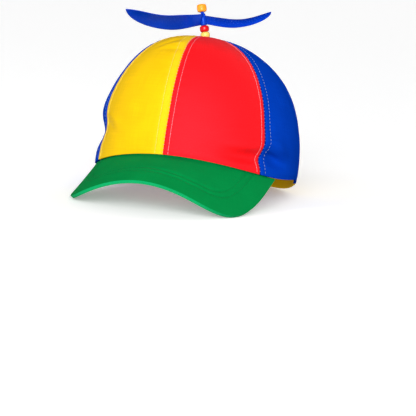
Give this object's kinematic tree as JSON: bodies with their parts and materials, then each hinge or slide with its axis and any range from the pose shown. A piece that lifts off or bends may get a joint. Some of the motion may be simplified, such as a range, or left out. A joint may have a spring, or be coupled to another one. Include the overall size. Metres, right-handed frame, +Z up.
{
  "type": "propeller cap",
  "caption": "Soft multicoloured panelled cap with a curved green peak and a plastic propeller that spins on a post on its crown.",
  "frame": {"origin": "middle of the cap's footprint box, on the surface that it rests on", "axes": "+Z up, the peak's front towards -Y, the wearer's left towards +X"},
  "size_m": [0.1732, 0.246, 0.1606],
  "materials": {
    "cloth_yellow": "matte cotton twill",
    "cloth_red": "matte cotton twill",
    "cloth_blue": "matte cotton twill",
    "cloth_green": "matte cotton twill",
    "thread_yellow": "cream sewing thread",
    "thread_red": "pale sewing thread",
    "thread_blue": "grey blue sewing thread",
    "thread_green": "dark green sewing thread",
    "plastic_blue": "glossy moulded",
    "plastic_yellow": "glossy bead",
    "plastic_red": "glossy bead",
    "plastic_orange": "glossy bead"
  },
  "bodies": {
    "cap": {"panel_front_right": "cloth_yellow", "panel_front_left": "cloth_red", "panel_side_left": "cloth_blue", "panel_side_right": "cloth_blue", "panel_rear_left": "cloth_yellow", "panel_rear_right": "cloth_red", "peak": "cloth_green", "post": "plastic_blue", "bead_yellow": "plastic_yellow", "bead_red": "plastic_red", "bead_orange": "plastic_orange"},
    "propeller": {"propeller": "plastic_blue"}
  },
  "joints": [
    {"name": "propeller_spin", "type": "hinge", "parent": "cap", "child": "propeller", "pos_m": [-0.01071, 0.04268, 0.14739], "axis": [-0.2521, 0.1447, 0.9568], "continuous": true}
  ]
}
